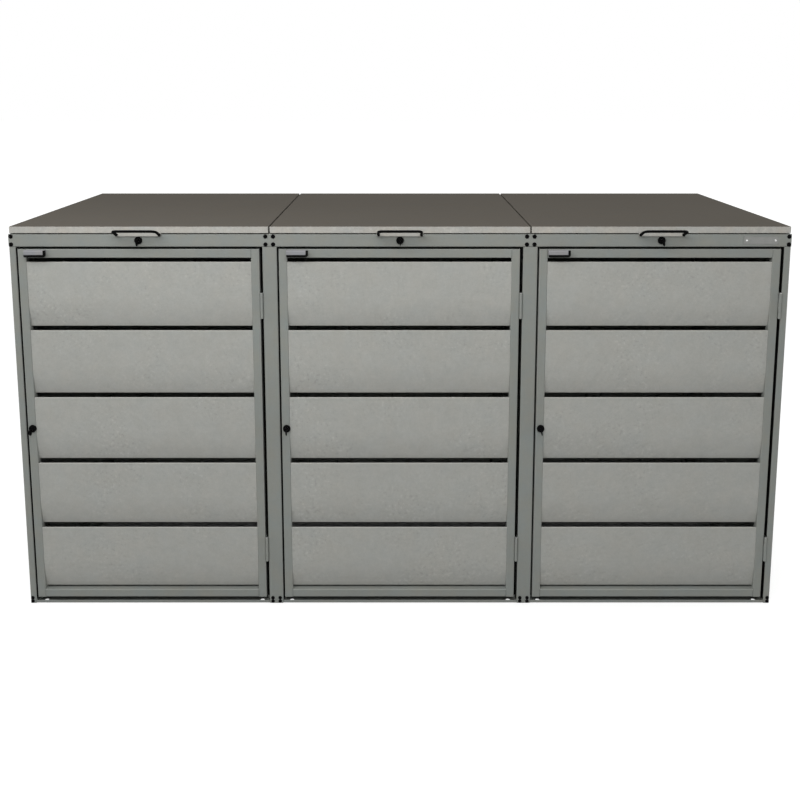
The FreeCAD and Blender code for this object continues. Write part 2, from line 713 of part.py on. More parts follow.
def pull_span(bay):
    x0 = door_left_x(bay) + STILE_SIZE + FIT_GAP
    top = door_top - TUBE_CORNER / 2
    return x0, x0 + PULL_WIDTH, top - PULL_HEIGHT, top


def pull_outline(bay, grow, top, y):
    # Front plate of the pull up to the given height, grown below and to its right. Its lower
    # corners are rounded.
    x0, x1, low = pull_span(bay)[:3]
    points = [(x0, low - grow), (x1 + grow, low - grow), (x1 + grow, top), (x0, top)]
    return rounded_outline(points, [PULL_CORNER, PULL_CORNER + grow, 0, 0], on_front(y))


def finger_pull(bay):
    # Folded steel pull on the front of the top rail, closed at its left end.
    x0, x1, low, top = pull_span(bay)
    path = [(0, low), (0, top), (-PULL_REACH, top), (-PULL_REACH, low)]
    body = folded_sheet(path, SHEET, 1, on_section(x0), V(PULL_WIDTH, 0, 0))
    end_plate = box(x0, x0 + SHEET, BEND_RADIUS - PULL_REACH, -SHEET / 2, low + BEND_RADIUS, top - SHEET / 2)
    body = fuse_all([body, end_plate])
    beyond = [(x0 - OVERCUT, low - OVERCUT), (x1 + OVERCUT, low - OVERCUT), (x1 + OVERCUT, top + OVERCUT),
              (x0 - OVERCUT, top + OVERCUT)]
    tool_front = -PULL_REACH - OVERCUT
    around = rounded_outline(beyond, [0] * len(beyond), on_front(tool_front))
    corners = around.cut(pull_outline(bay, 0, top + OVERCUT, tool_front))
    return body.cut(corners.extrude(V(0, OVERCUT + SHEET + FIT_GAP, 0)))


def finger_pull_trim(bay, body):
    # Black rubber trim pushed onto the lower and right edges of the pull's front plate.
    x0, x1, low, top = pull_span(bay)
    trim_front = -PULL_REACH - PULL_TRIM_SIDE
    grown = pull_outline(bay, PULL_TRIM_DROP, top - PULL_TRIM_TOP, trim_front)
    inside = box(x0 - OVERCUT, x1 - PULL_TRIM_LAP, trim_front - OVERCUT, 0, low + PULL_TRIM_LAP,
                 top + OVERCUT)
    return grown.extrude(V(0, SHEET + 2 * PULL_TRIM_SIDE, 0)).cut([body, inside])


# Hinges

def door_axis_x(bay):
    return opening_right(bay) - HINGE_SIDE_GAP / 2


def hinge_segments(start, length, of_moving_leaf):
    # Three knuckles: the fixed leaf has the two ends and the moving leaf the middle.
    third = length / 3
    if of_moving_leaf:
        return [(start + third + KNUCKLE_END_GAP / 2, start + 2 * third - KNUCKLE_END_GAP / 2)]
    return [(start, start + third - KNUCKLE_END_GAP / 2),
            (start + 2 * third + KNUCKLE_END_GAP / 2, start + length)]


def ordered(first, second):
    return min(first, second), max(first, second)


def door_hinge_leaf(bay, height, moving):
    axis_x = door_axis_x(bay)
    side = -1 if moving else 1
    near = axis_x + side * (HINGE_SIDE_GAP / 2 - LEAF_SHEET)
    x0, x1 = ordered(near, axis_x + side * HINGE_SIDE_GAP / 2)
    n0, n1 = ordered(near, axis_x + side * DOOR_KNUCKLE_RADIUS)
    low = height - DOOR_HINGE_LENGTH / 2
    high = low + DOOR_HINGE_LENGTH
    plate_front = door_axis_y + DOOR_KNUCKLE_RADIUS + LEAF_SWEEP_GAP
    pieces = [box(x0, x1, plate_front, DOOR_LEAF_DEPTH, low, high)]
    for z0, z1 in hinge_segments(low, DOOR_HINGE_LENGTH, moving):
        pieces.append(cylinder_z(axis_x, door_axis_y, z0, z1, DOOR_KNUCKLE_RADIUS))
        pieces.append(box(n0, n1, door_axis_y, plate_front + LEAF_NECK_REACH, z0, z1))
    bore = cylinder_z(axis_x, door_axis_y, low - OVERCUT, high + OVERCUT, DOOR_PIN_RADIUS + PIN_CLEARANCE)
    return fuse_all(pieces).cut(bore)


def door_hinge_fixed_leaves():
    return group([door_hinge_leaf(bay, height, False)
                  for bay in range(bay_count) for height in DOOR_HINGE_HEIGHTS])


def door_hinge_pins():
    head_radius = DOOR_KNUCKLE_RADIUS - PIN_HEAD_STEP
    pins = []
    for bay in range(bay_count):
        x = door_axis_x(bay)
        for height in DOOR_HINGE_HEIGHTS:
            low = height - DOOR_HINGE_LENGTH / 2
            high = low + DOOR_HINGE_LENGTH
            shaft = cylinder_z(x, door_axis_y, low, high, DOOR_PIN_RADIUS)
            head = cylinder_z(x, door_axis_y, high, high + PIN_HEAD_HEIGHT, head_radius)
            pins.append(fuse_all([shaft, head]))
    return group(pins)


def lid_hinge_starts(bay):
    half = OPENING_WIDTH / 2 - LID_HINGE_INSET
    return [bay_middle(bay) + side * half - LID_HINGE_LENGTH / 2 for side in (-1, 1)]


def lid_hinge_leaf(start, moving):
    y0 = CABINET_DEPTH
    y1 = CABINET_DEPTH + LEAF_SHEET
    end = start + LID_HINGE_LENGTH
    sweep = LID_KNUCKLE_RADIUS + LEAF_SWEEP_GAP
    if moving:
        z0 = lid_axis_z + sweep
        z1 = lid_top - LID_LEAF_TOP_MARGIN
        neck = (lid_axis_z, z0 + LEAF_NECK_REACH)
    else:
        z1 = lid_axis_z - sweep
        z0 = z1 - LID_LEAF_HEIGHT
        neck = (z1 - LEAF_NECK_REACH, lid_axis_z)
    pieces = [box(start, end, y0, y1, z0, z1)]
    for x0, x1 in hinge_segments(start, LID_HINGE_LENGTH, moving):
        pieces.append(cylinder_x(lid_axis_y, lid_axis_z, x0, x1, LID_KNUCKLE_RADIUS))
        pieces.append(box(x0, x1, y0, y1, neck[0], neck[1]))
    bore = LID_PIN_RADIUS + PIN_CLEARANCE
    return fuse_all(pieces).cut(cylinder_x(lid_axis_y, lid_axis_z, start - OVERCUT, end + OVERCUT, bore))


def lid_hinge_fixed_leaves():
    return group([lid_hinge_leaf(start, False)
                  for bay in range(bay_count) for start in lid_hinge_starts(bay)])


def lid_hinge_pins():
    head_radius = LID_KNUCKLE_RADIUS - PIN_HEAD_STEP
    pins = []
    for bay in range(bay_count):
        for start in lid_hinge_starts(bay):
            head = cylinder_x(lid_axis_y, lid_axis_z, start - PIN_HEAD_HEIGHT, start, head_radius)
            shaft = cylinder_x(lid_axis_y, lid_axis_z, start, start + LID_HINGE_LENGTH, LID_PIN_RADIUS)
            pins.append(fuse_all([shaft, head]))
    return group(pins)


# Cam locks, each turning about an axis along y through x, z

def lock_housing(x, z, body_end, panel_back):
    # Black cap, barrel through the panel and a thin round nut behind it.
    cap = cylinder_y(x, z, -LOCK_CAP_HEIGHT, 0, LOCK_CAP_RADIUS)
    rim = [edge for edge in cap.Edges if edge.Closed and edge.BoundBox.YMax < -LOCK_CAP_HEIGHT / 2]
    cap = cap.makeFillet(LOCK_CAP_ROUND, rim)
    barrel = cylinder_y(x, z, -OVERCUT, body_end, LOCK_BODY_RADIUS)
    nut = cylinder_y(x, z, panel_back, panel_back + LOCK_NUT_THICKNESS, LOCK_NUT_RADIUS)
    bore_radius = LOCK_PLUG_RADIUS + LOCK_PLUG_CLEARANCE
    bore = cylinder_y(x, z, -LOCK_CAP_HEIGHT - OVERCUT, body_end + OVERCUT, bore_radius)
    return fuse_all([cap, barrel, nut]).cut(bore)


def lean(shape, x, z):
    # The keys hang a few degrees out of plumb.
    shape.rotate(V(x, 0, z), V(0, 1, 0), -KEY_LEAN_DEG)
    return shape


def lock_plug(x, z, body_end):
    # Cylinder with a keyway in front, a clamped cam and its screw behind.
    front = -LOCK_CAP_HEIGHT
    plug = cylinder_y(x, z, front, body_end + LOCK_CAM_GAP, LOCK_PLUG_RADIUS)
    half_width = KEY_THICKNESS / 2 + KEYWAY_CLEARANCE
    half_height = KEY_BLADE_HEIGHT / 2 + KEYWAY_CLEARANCE
    keyway = box(x - half_width, x + half_width, front - OVERCUT, front + KEYWAY_DEPTH,
                 z - half_height, z + half_height)
    return plug.cut(lean(keyway, x, z))


def cam_screw(x, z, cam_back):
    return cylinder_y(x, z, cam_back, cam_back + CAM_SCREW_HEIGHT, CAM_SCREW_RADIUS)


def straight_cam(x, z, y0, reach):
    # Flat bar pointing up while the lock is open.
    half = LOCK_CAM_WIDTH / 2
    outline = [(x - half, z - half), (x + half, z - half), (x + half, z + reach), (x - half, z + reach)]
    radii = [CAM_ROOT_CORNER, CAM_ROOT_CORNER, CAM_TIP_CORNER, CAM_TIP_CORNER]
    return rounded_outline(outline, radii, on_front(y0)).extrude(V(0, LOCK_CAM_THICKNESS, 0))


def sector(x, z, y0, inner, outer, angle0, angle1):
    # Flat piece between two radii and two angles about the lock's axis.
    def at(radius, degrees):
        angle = math.radians(degrees)
        return V(x + radius * math.cos(angle), y0, z + radius * math.sin(angle))
    middle = (angle0 + angle1) / 2
    edges = [Part.LineSegment(at(inner, angle0), at(outer, angle0)).toShape(),
             Part.Arc(at(outer, angle0), at(outer, middle), at(outer, angle1)).toShape(),
             Part.LineSegment(at(outer, angle1), at(inner, angle1)).toShape(),
             Part.Arc(at(inner, angle1), at(inner, middle), at(inner, angle0)).toShape()]
    return Part.Face(Part.Wire(edges)).extrude(V(0, LOCK_CAM_THICKNESS, 0))


def hook_cam(x, z, y0):
    # Hook that swings over the keeper's pin, drawn locked and then turned back a quarter turn.
    hub = cylinder_y(x, z, y0, y0 + LOCK_CAM_THICKNESS, HOOK_HUB_RADIUS)
    arm = sector(x, z, y0, LOCK_PLUG_RADIUS / 2, HOOK_OUTER_RADIUS, *HOOK_ARM_ANGLES)
    finger = sector(x, z, y0, HOOK_INNER_RADIUS, HOOK_OUTER_RADIUS, HOOK_ARM_ANGLES[0], HOOK_TIP_ANGLE)
    cam = fuse_all([hub, arm, finger])
    cam.rotate(V(x, 0, z), V(0, 1, 0), 90)
    return cam


def key(x, z):
    # Steel blade in the keyway and a round flat bow that hangs a little below the axis.
    front = -LOCK_CAP_HEIGHT
    x0 = x - KEY_THICKNESS / 2
    x1 = x + KEY_THICKNESS / 2
    half = KEY_BLADE_HEIGHT / 2
    stem_front = front - KEY_STEM_LENGTH
    blade = box(x0, x1, stem_front, front + KEYWAY_DEPTH - KEY_END_GAP, z - half, z + half)
    bow_y = stem_front - KEY_BOW_RADIUS + KEY_BOW_OVERLAP
    bow_z = z - KEY_BOW_DROP
    bow = cylinder_x(bow_y, bow_z, x0, x1, KEY_BOW_RADIUS)
    hole = cylinder_x(bow_y - KEY_RING_OFFSET, bow_z - KEY_RING_DROP, x0 - OVERCUT, x1 + OVERCUT,
                      KEY_RING_RADIUS)
    return lean(fuse_all([blade, bow]).cut(hole), x, z)


def door_lock_cam(bay):
    x = door_lock_x(bay)
    z = DOOR_LOCK_HEIGHT
    cam_front = door_lock_body_end + LOCK_CAM_GAP
    return group([lock_plug(x, z, door_lock_body_end), straight_cam(x, z, cam_front, DOOR_CAM_REACH),
                  cam_screw(x, z, cam_front + LOCK_CAM_THICKNESS)])


def lid_lock_cam(bay):
    x = bay_middle(bay)
    cam_front = LID_LOCK_BODY_LENGTH + LOCK_CAM_GAP
    return group([lock_plug(x, lid_lock_z, LID_LOCK_BODY_LENGTH), hook_cam(x, lid_lock_z, cam_front),
                  cam_screw(x, lid_lock_z, cam_front + LOCK_CAM_THICKNESS)])


# Lids

def lid_span(bay):
    x0 = left_end + LID_END_SETBACK if bay == 0 else inner_post_middle(bay - 1) + LID_SEAM_GAP / 2
    x1 = right_end - LID_END_SETBACK if bay == bay_count - 1 else inner_post_middle(bay) - LID_SEAM_GAP / 2
    return x0, x1


def lid_tray(x0, x1):
    # Pressed tray, open below, with rounded outer edges.
    outer = box(x0, x1, lid_face, CABINET_DEPTH, lip_bottom, lid_top)
    soft = [edge for edge in outer.Edges if edge.BoundBox.ZMax > (lip_bottom + lid_top) / 2]
    outer = outer.makeFillet(LID_EDGE_RADIUS, soft)
    inner = box(x0 + SHEET, x1 - SHEET, lid_face + SHEET, CABINET_DEPTH - SHEET, lip_bottom - OVERCUT,
                lid_top - SHEET)
    soft = [edge for edge in inner.Edges if edge.BoundBox.ZMax > (lip_bottom + lid_top) / 2]
    inner = inner.makeFillet(LID_EDGE_RADIUS - SHEET, soft)
    return outer.cut(inner)


def lid_panel(bay):
    # The top sheet ends at its bends. The four lips hang from it and meet at the corners, and
    # the front lip has a tab behind the handle.
    x0, x1 = lid_span(bay)
    tray = lid_tray(x0, x1)
    middle = bay_middle(bay)
    half = LID_TAB_WIDTH / 2
    tab_low = lip_bottom - LID_TAB_DROP
    tab_top = lip_bottom + SHEET
    corners = [(middle - half, tab_low), (middle + half, tab_low),
               (middle + half, tab_top), (middle - half, tab_top)]
    tab = rounded_outline(corners, [LID_TAB_CORNER, LID_TAB_CORNER, 0, 0], on_front(lid_face))
    bend_end = lid_top - LID_EDGE_RADIUS
    side_from = lid_face + LID_EDGE_RADIUS
    side_to = CABINET_DEPTH - LID_EDGE_RADIUS
    top_sheet = tray.common(box(x0, x1, lid_face, CABINET_DEPTH, bend_end, lid_top))
    front_lip = tray.common(box(x0, x1, lid_face, side_from, lip_bottom, bend_end))
    front_lip = fuse_all([front_lip, tab.extrude(V(0, SHEET, 0))])
    rear_lip = tray.common(box(x0, x1, side_to, CABINET_DEPTH, lip_bottom, bend_end))
    left_lip = box(x0, x0 + SHEET, side_from, side_to, lip_bottom, bend_end)
    right_lip = box(x1 - SHEET, x1, side_from, side_to, lip_bottom, bend_end)
    ribs = [lid_rib(middle + side * LID_RIB_SPACING / 2) for side in (-1, 1)]
    return group([top_sheet, front_lip, rear_lip, left_lip, right_lip] + ribs)


def lid_rib(centre):
    # Top-hat stiffener under the lid, from front to back.
    half = LID_RIB_CROWN / 2
    brim = LID_RIB_WIDTH / 2
    seat = lid_top - 2 * SHEET
    low = lid_top - SHEET - LID_RIB_HEIGHT
    path = [(centre - brim, seat), (centre - half, seat), (centre - half, low), (centre + half, low),
            (centre + half, seat), (centre + brim, seat)]
    y0 = lid_face + LID_RIB_END_GAP
    y1 = CABINET_DEPTH - LID_RIB_END_GAP
    return folded_sheet(path, SHEET, 1, on_front(y0), V(0, y1 - y0, 0))


def lid_keeper(bay):
    # Angle under the lid that carries the pin for the hook of the lid lock.
    middle = bay_middle(bay)
    half = KEEPER_WIDTH / 2
    under = lid_top - SHEET
    pin_z = lid_lock_z + KEEPER_PIN_HEIGHT
    face = LID_LOCK_BODY_LENGTH + LOCK_CAM_GAP + LOCK_CAM_THICKNESS + CAM_SCREW_HEIGHT + KEEPER_PLAY
    low = pin_z - KEEPER_DROP
    path = [(face, low), (face, under), (face + KEEPER_FOOT, under)]
    angle = folded_sheet(path, SHEET, -1, on_section(middle - half), V(KEEPER_WIDTH, 0, 0))
    pin_front = LID_LOCK_BODY_LENGTH + LOCK_CAM_GAP - KEEPER_PIN_LEAD
    pin = cylinder_y(middle, pin_z, pin_front, face + SHEET, KEEPER_PIN_RADIUS)
    return fuse_all([angle, pin])


def bow_handle(bay):
    # Round bar bent to a bow, tilted upwards from the lid's lip.
    middle = bay_middle(bay)
    foot_z = lip_bottom - HANDLE_FOOT_DROP
    half = HANDLE_CENTRES / 2
    reach = V(0, -math.cos(handle_tilt), math.sin(handle_tilt))
    root_left = V(middle - half, lid_face, foot_z)
    root_right = V(middle + half, lid_face, foot_z)
    start = root_left - reach * HANDLE_ROOT
    end = root_right - reach * HANDLE_ROOT
    along = V(1, 0, 0)
    corner_left = root_left + reach * HANDLE_PROJECTION
    corner_right = root_right + reach * HANDLE_PROJECTION
    bend = HANDLE_BEND_RADIUS
    cut = bend * (1 - math.sqrt(0.5))
    left_leg_top = corner_left - reach * bend
    left_bar_end = corner_left + along * bend
    left_mid = corner_left + (along - reach) * cut
    right_bar_end = corner_right - along * bend
    right_leg_top = corner_right - reach * bend
    right_mid = corner_right + (V(0, 0, 0) - along - reach) * cut
    path = Part.Wire([Part.LineSegment(start, left_leg_top).toShape(),
                      Part.Arc(left_leg_top, left_mid, left_bar_end).toShape(),
                      Part.LineSegment(left_bar_end, right_bar_end).toShape(),
                      Part.Arc(right_bar_end, right_mid, right_leg_top).toShape(),
                      Part.LineSegment(right_leg_top, end).toShape()])
    ring = Part.Wire(Part.makeCircle(HANDLE_BAR_RADIUS, start, reach))
    bar = path.makePipeShell([ring], True, False)
    behind = box(middle - HANDLE_CENTRES, middle + HANDLE_CENTRES, lid_face, lid_face + 2 * HANDLE_ROOT,
                 foot_z - 2 * HANDLE_ROOT, foot_z + 2 * HANDLE_ROOT)
    feet = [cylinder_y(root.x, root.z, lid_face - HANDLE_FOOT_HEIGHT, lid_face, HANDLE_FOOT_RADIUS)
            for root in (root_left, root_right)]
    return fuse_all([bar.cut(behind)] + feet)


def lid_buffers():
    # Rubber bumpers on the front rail's top flange that the closed lids come down to.
    height = lid_top - SHEET - frame_top - BUFFER_GAP
    y = RAIL_TOP_FLANGE / 2
    buffers = []
    for bay in range(bay_count):
        for side in (-BUFFER_SPACING / 2, BUFFER_SPACING / 2):
            foot = V(bay_middle(bay) + side, y, frame_top)
            buffers.append(Part.makeCone(BUFFER_RADIUS, BUFFER_TIP_RADIUS, height, foot))
    return group(buffers)


# Bare plate

def name_plate():
    middle = right_end - PLATE_CENTRE_FROM_END
    half_w = PLATE_WIDTH / 2
    half_h = PLATE_HEIGHT / 2
    corners = [(middle - half_w, rail_middle - half_h), (middle + half_w, rail_middle - half_h),
               (middle + half_w, rail_middle + half_h), (middle - half_w, rail_middle + half_h)]
    outline = rounded_outline(corners, [PLATE_CORNER] * len(corners), on_front(-PLATE_THICKNESS))
    plate = outline.extrude(V(0, PLATE_THICKNESS, 0))
    rivets = [cylinder_y(middle + side * (half_w - PLATE_RIVET_INSET), rail_middle,
                         -PLATE_THICKNESS - PLATE_RIVET_HEIGHT, -PLATE_THICKNESS / 2, PLATE_RIVET_RADIUS)
              for side in (-1, 1)]
    return fuse_all([plate] + rivets)


def cabinet_nodes():
    nodes = {
        "left_front_post": end_post(False),
        "right_front_post": end_post(True),
        "top_front_rail": top_front_rail(),
        "top_rear_rail": top_rear_rail(),
        "top_side_rails": group([side_rail(False), side_rail(True)]),
        "gutter_rails": group([gutter_rail(i) for i in range(bay_count - 1)]),
        "base_front_rail": base_front_rail(),
        "base_rear_rail": base_rear_rail(),
        "base_side_rails": group([base_side_rail(False), base_side_rail(True)]),
        "rear_posts": group(rear_post_solids()),
        "side_panels": group([side_panel(False), side_panel(True)]),
        "back_panels": group([back_panel(bay) for bay in range(bay_count)]),
        "door_hinge_fixed_leaves": door_hinge_fixed_leaves(),
        "door_hinge_pins": door_hinge_pins(),
        "lid_hinge_fixed_leaves": lid_hinge_fixed_leaves(),
        "lid_hinge_pins": lid_hinge_pins(),
        "lid_lock_housings": group([lock_housing(bay_middle(bay), lid_lock_z, LID_LOCK_BODY_LENGTH, SHEET)
                                    for bay in range(bay_count)]),
        "lid_buffers": lid_buffers(),
        "top_rail_bolts": group([domed_bolt(x, z, TOP_BOLT_HEAD_RADIUS, 2 * SHEET)
                                 for x in bolt_columns() for z in top_bolt_heights()]),
        "foot_bolts": group([domed_bolt(x, z, FOOT_BOLT_HEAD_RADIUS, 2 * SHEET)
                             for x in bolt_columns() for z in FOOT_BOLT_HEIGHTS]),
        "name_plate": name_plate(),
    }
    inner_names = [f"inner_front_post_{i + 1}" for i in range(bay_count - 1)]
    for i, name in enumerate(inner_names):
        nodes[name] = inner_post(i)
    return nodes


def rear_post_solids():
    posts = [rear_post(left_end, left_end + END_POST_WIDTH), rear_post(right_end - END_POST_WIDTH, right_end)]
    for i in range(bay_count - 1):
        half = INNER_POST_WIDTH / 2
        posts.append(rear_post(inner_post_middle(i) - half, inner_post_middle(i) + half))
    return posts


def bay_nodes(bay, name):
    pull = finger_pull(bay)
    lid_leaves = [lid_hinge_leaf(start, True) for start in lid_hinge_starts(bay)]
    lock_x = door_lock_x(bay)
    return {
        f"{name}_door_frame": door_frame(bay),
        f"{name}_door_louvres": louvres(bay),
        f"{name}_door_pull": pull,
        f"{name}_door_pull_trim": finger_pull_trim(bay, pull),
        f"{name}_door_lock_housing": lock_housing(lock_x, DOOR_LOCK_HEIGHT, door_lock_body_end, STILE_SIZE),
        f"{name}_door_lock_cam": door_lock_cam(bay),
        f"{name}_door_key": key(lock_x, DOOR_LOCK_HEIGHT),
        f"{name}_lid_panel": group([lid_panel(bay)] + lid_leaves),
        f"{name}_lid_handle": bow_handle(bay),
        f"{name}_lid_keeper": lid_keeper(bay),
        f"{name}_lid_lock_cam": lid_lock_cam(bay),
        f"{name}_lid_key": key(bay_middle(bay), lid_lock_z),
    }


def main():
    os.makedirs("parts", exist_ok=True)
    nodes = cabinet_nodes()
    for bay, name in enumerate(BAY_NAMES):
        nodes.update(bay_nodes(bay, name))
    for name, shape in nodes.items():
        shape.translate(V(0, -footprint_middle, 0))
        shape.exportStep(f"parts/{name}.step")
    print(len(nodes), "nodes, origin shift", round(-footprint_middle, 4))
    print("total width", total_width, "height", lid_top, "depth", round(back_reach - front_reach, 3))


main()
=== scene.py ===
import json
import math

import bmesh
import bpy
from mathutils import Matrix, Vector


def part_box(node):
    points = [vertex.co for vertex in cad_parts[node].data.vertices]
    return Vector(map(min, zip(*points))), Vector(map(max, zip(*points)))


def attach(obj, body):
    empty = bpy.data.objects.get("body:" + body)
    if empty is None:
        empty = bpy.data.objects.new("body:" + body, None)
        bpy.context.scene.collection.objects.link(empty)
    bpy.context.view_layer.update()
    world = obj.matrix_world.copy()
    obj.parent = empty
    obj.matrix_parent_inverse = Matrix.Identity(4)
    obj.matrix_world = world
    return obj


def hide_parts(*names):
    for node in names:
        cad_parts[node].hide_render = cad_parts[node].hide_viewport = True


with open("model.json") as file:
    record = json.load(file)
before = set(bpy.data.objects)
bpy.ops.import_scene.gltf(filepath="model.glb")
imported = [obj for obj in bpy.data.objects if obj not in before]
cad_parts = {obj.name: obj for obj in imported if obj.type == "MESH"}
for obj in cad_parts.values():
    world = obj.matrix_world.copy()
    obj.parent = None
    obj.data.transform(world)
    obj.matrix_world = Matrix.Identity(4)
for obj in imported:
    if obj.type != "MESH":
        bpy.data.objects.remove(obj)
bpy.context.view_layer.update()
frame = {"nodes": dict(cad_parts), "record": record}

# Looks for the wheelie bin store: metres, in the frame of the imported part.

nodes = frame["nodes"]
bays = ("left", "middle", "right")
front_posts = ("left_front_post", "inner_front_post_1", "inner_front_post_2", "right_front_post")
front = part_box("top_front_rail")[0].y
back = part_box("top_rear_rail")[1].y
half_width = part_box("top_front_rail")[1].x
rail_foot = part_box("top_front_rail")[0].z


# Node trees

bevel_samples = 4
edge_sharpness = 6.0


class Graph:
    """A material's node tree with short helpers.

    A noise has about as many cells to the metre as its scale.
    """

    def __init__(self, name):
        self.material = bpy.data.materials.new(name)
        self.material.use_nodes = True
        self.tree = self.material.node_tree
        self.shader = self.tree.nodes["Principled BSDF"]
        self.place = self.add("ShaderNodeTexCoord").outputs["Object"]

    def add(self, kind, **values):
        node = self.tree.nodes.new(kind)
        for key, value in values.items():
            setattr(node, key, value)
        return node

    def link(self, output, target):
        self.tree.links.new(output, target)

    def noise(self, scale, detail=3.0, rough=0.55, stretch=None):
        node = self.add("ShaderNodeTexNoise")
        node.inputs["Scale"].default_value = scale
        node.inputs["Detail"].default_value = detail
        node.inputs["Roughness"].default_value = rough
        place = self.place
        if stretch:
            mapping = self.add("ShaderNodeMapping")
            mapping.inputs["Scale"].default_value = stretch
            self.link(place, mapping.inputs["Vector"])
            place = mapping.outputs["Vector"]
        self.link(place, node.inputs["Vector"])
        return node.outputs["Fac"]

    def ramp(self, factor, low, high, start=0.3, end=0.7):
        """low where the factor is at or under start, high where it is at or over end."""
        node = self.add("ShaderNodeMapRange")
        node.inputs["From Min"].default_value = start
        node.inputs["From Max"].default_value = end
        node.inputs["To Min"].default_value = low
        node.inputs["To Max"].default_value = high
        self.link(factor, node.inputs["Value"])
        return node.outputs["Result"]

    def around_one(self, factor, reach):
        return self.ramp(factor, low=1.0 - reach, high=1.0 + reach)

    def math(self, operation, first, second):
        node = self.add("ShaderNodeMath", operation=operation)
        for i, value in enumerate((first, second)):
            if isinstance(value, (int, float)):
                node.inputs[i].default_value = value
            else:
                self.link(value, node.inputs[i])
        return node.outputs[0]

    def mix(self, factor, first, second, blend_type="MIX"):
        """Two colours, mixed by a factor; each is a tuple or the output of another node."""
        node = self.add("ShaderNodeMix", data_type="RGBA", blend_type=blend_type)
        colours = [socket for socket in node.inputs if socket.type == "RGBA"]
        for socket, value in zip(colours, (first, second)):
            if isinstance(value, tuple):
                socket.default_value = (*value, 1.0)
            else:
                self.link(value, socket)
        if isinstance(factor, (int, float)):
            node.inputs["Factor"].default_value = factor
        else:
            self.link(factor, node.inputs["Factor"])
        return [socket for socket in node.outputs if socket.type == "RGBA"][0]

    def shade(self, colour, tone):
        """A colour multiplied by a tone."""
        return self.mix(1.0, colour, tone, "MULTIPLY")

    def edges(self, radius):
        """1 near a sharp edge and 0 on a flat."""
        bevel = self.add("ShaderNodeBevel", samples=bevel_samples)
        bevel.inputs["Radius"].default_value = radius
        geometry = self.add("ShaderNodeNewGeometry")
        dot = self.add("ShaderNodeVectorMath", operation="DOT_PRODUCT")
        self.link(bevel.outputs["Normal"], dot.inputs[0])
        self.link(geometry.outputs["Normal"], dot.inputs[1])
        away = self.math("SUBTRACT", 1.0, dot.outputs["Value"])
        return self.math("MINIMUM", self.math("MULTIPLY", away, edge_sharpness), 1.0)

    def paint(self, colour):
        self.link(colour, self.shader.inputs["Base Color"])

    def roughen(self, pattern, middle, under, over):
        """Roughness that follows a pattern, from a little under the middle value to a little over it."""
        level = self.ramp(pattern, low=middle - under, high=middle + over)
        self.link(level, self.shader.inputs["Roughness"])

    def bump(self, height, strength, distance, radius):
        """Surface texture on edges that are softened to the given radius."""
        bevel = self.add("ShaderNodeBevel", samples=bevel_samples)
        bevel.inputs["Radius"].default_value = radius
        node = self.add("ShaderNodeBump")
        node.inputs["Strength"].default_value = strength
        node.inputs["Distance"].default_value = distance
        self.link(height, node.inputs["Height"])
        self.link(bevel.outputs["Normal"], node.inputs["Normal"])
        self.link(node.outputs["Normal"], self.shader.inputs["Normal"])

    def seen_directly(self):
        """1 for camera, glossy and transmission rays, and 0 for the rays that carry diffuse light."""
        rays = self.add("ShaderNodeLightPath")
        total = self.math("ADD", rays.outputs["Is Camera Ray"], rays.outputs["Is Glossy Ray"])
        total = self.math("ADD", total, rays.outputs["Is Transmission Ray"])
        return self.math("MINIMUM", total, 1.0)


# Powder coat

# Pale edges: partly rubbed, worn paint and partly a painted highlight along the edges.
pale_edge_radius = 0.0016
pale_edge_gain = 1.5
pale_edge_lift = 0.03


def speck_tone(g, strength):
    """A tone near 1 with short pale and dark marks that gather in patches."""
    gathered = g.ramp(g.noise(scale=5.0, detail=2.0, rough=0.6), low=0.0, high=1.0, start=0.42, end=0.62)
    marks = g.noise(scale=105.0, detail=1.0, rough=0.4)
    pale_marks = g.ramp(marks, low=0.0, high=strength, start=0.60, end=0.70)
    dark_marks = g.ramp(marks, low=strength, high=0.0, start=0.30, end=0.40)
    marked = g.math("MULTIPLY", gathered, g.math("SUBTRACT", pale_marks, dark_marks))
    return g.math("ADD", marked, 1.0)


def drifting_tint(g, colour, tint):
    """A colour that drifts between a cooler and a warmer one."""
    red, green, blue = colour
    warm = (red * (1.0 + tint), green, blue * (1.0 - tint))
    cool = (red * (1.0 - tint), green, blue * (1.0 + tint))
    drift = g.ramp(g.noise(scale=14.0, detail=3.0, rough=0.7), low=0.0, high=1.0)
    return g.mix(drift, cool, warm)


def worn_and_highlit_edges(g, edge_wear_and_highlight):
    """How far the paint is made pale on edges, in patches: partly rubbed paint, partly a painted
    highlight.
    """
    patches = g.ramp(g.noise(scale=22.0, detail=5.0, rough=0.65), low=0.25, high=1.0, start=0.35, end=0.65)
    return g.math("MULTIPLY", g.math("MULTIPLY", g.edges(pale_edge_radius), patches), edge_wear_and_highlight)


